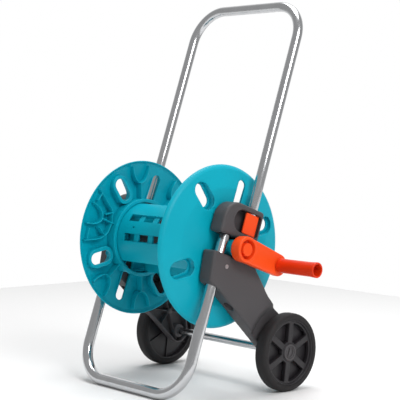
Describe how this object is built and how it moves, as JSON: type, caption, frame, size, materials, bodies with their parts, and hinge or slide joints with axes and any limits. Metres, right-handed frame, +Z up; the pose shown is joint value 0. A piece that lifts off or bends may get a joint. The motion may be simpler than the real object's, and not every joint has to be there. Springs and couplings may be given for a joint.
{
  "type": "garden hose reel cart",
  "caption": "Wheeled garden hose reel: ribbed drum with crank between side brackets on a bent tube frame, with a telescopic push handle.",
  "frame": {"origin": "on the ground, under the middle of the bounding box", "axes": "+X towards the crank, +Y towards the wheels at the back, +Z up"},
  "size_m": [0.482, 0.371, 0.78],
  "materials": {
    "galvanised_steel": "bright zinc",
    "zinc_fastener": "zinc plated",
    "teal_plastic": "satin",
    "grey_plastic": "fine grain",
    "dark_plastic": "fine grain",
    "wheel_plastic": "satin",
    "orange_plastic": "satin",
    "black_bush": "satin",
    "seal_rubber": "matte",
    "tyre_rubber": "matte"
  },
  "bodies": {
    "frame": {"lower_frame_tube": "galvanised_steel", "axle_tube": "galvanised_steel", "right_bracket": "grey_plastic", "left_bracket": "grey_plastic", "right_bracket_cover": "dark_plastic", "left_bracket_cover": "dark_plastic", "right_bracket_screw": "zinc_fastener", "left_bracket_screw": "zinc_fastener", "right_drum_bush": "black_bush", "left_drum_bush": "black_bush", "right_lock_pin": "zinc_fastener", "left_lock_pin": "zinc_fastener", "right_wheel_washer": "black_bush", "left_wheel_washer": "black_bush", "right_axle_clip": "zinc_fastener", "left_axle_clip": "zinc_fastener"},
    "handle": {"handle_tube": "galvanised_steel", "right_handle_plug": "black_bush", "left_handle_plug": "black_bush"},
    "right_lock": {"right_lock_lever": "orange_plastic"},
    "left_lock": {"left_lock_lever": "orange_plastic"},
    "drum": {"right_disc": "teal_plastic", "left_disc": "teal_plastic", "front_core_shell": "teal_plastic", "rear_core_shell": "teal_plastic", "water_pipe": "grey_plastic", "crank_arm": "orange_plastic", "crank_cap": "orange_plastic", "crank_screw": "zinc_fastener", "crank_seal_ring": "seal_rubber", "grip_retainer": "orange_plastic"},
    "grip": {"crank_grip": "orange_plastic"},
    "inlet": {"inlet_elbow": "dark_plastic", "inlet_nipple": "orange_plastic", "inlet_seal_ring": "seal_rubber"},
    "right_wheel": {"right_tyre": "tyre_rubber", "right_wheel_centre": "wheel_plastic", "right_wheel_cap": "grey_plastic"},
    "left_wheel": {"left_tyre": "tyre_rubber", "left_wheel_centre": "wheel_plastic", "left_wheel_cap": "grey_plastic"}
  },
  "joints": [
    {"name": "handle_slide", "type": "slide", "parent": "frame", "child": "handle", "axis": [0, 0.314, 0.9494], "range_m": [-0.21, 0]},
    {"name": "right_lock_flip", "type": "hinge", "parent": "frame", "child": "right_lock", "pos_m": [0.1085, 0.02889, 0.32559], "axis": [0, 0.314, 0.9494], "range_deg": [0, 65]},
    {"name": "left_lock_flip", "type": "hinge", "parent": "frame", "child": "left_lock", "pos_m": [-0.2065, 0.02889, 0.32559], "axis": [0, -0.314, -0.9494], "range_deg": [0, 65]},
    {"name": "drum_spin", "type": "hinge", "parent": "frame", "child": "drum", "pos_m": [-0.049, -0.02652, 0.28862], "axis": [1, 0, 0], "continuous": true},
    {"name": "grip_spin", "type": "hinge", "parent": "drum", "child": "grip", "pos_m": [0.191, 0.06404, 0.25386], "axis": [1, 0, 0], "continuous": true},
    {"name": "inlet_swivel", "type": "hinge", "parent": "frame", "child": "inlet", "pos_m": [-0.2295, -0.02652, 0.28862], "axis": [1, 0, 0], "continuous": true},
    {"name": "right_wheel_spin", "type": "hinge", "parent": "frame", "child": "right_wheel", "pos_m": [0.128, 0.10752, 0.078], "axis": [1, 0, 0], "continuous": true},
    {"name": "left_wheel_spin", "type": "hinge", "parent": "frame", "child": "left_wheel", "pos_m": [-0.226, 0.10752, 0.078], "axis": [1, 0, 0], "continuous": true}
  ]
}
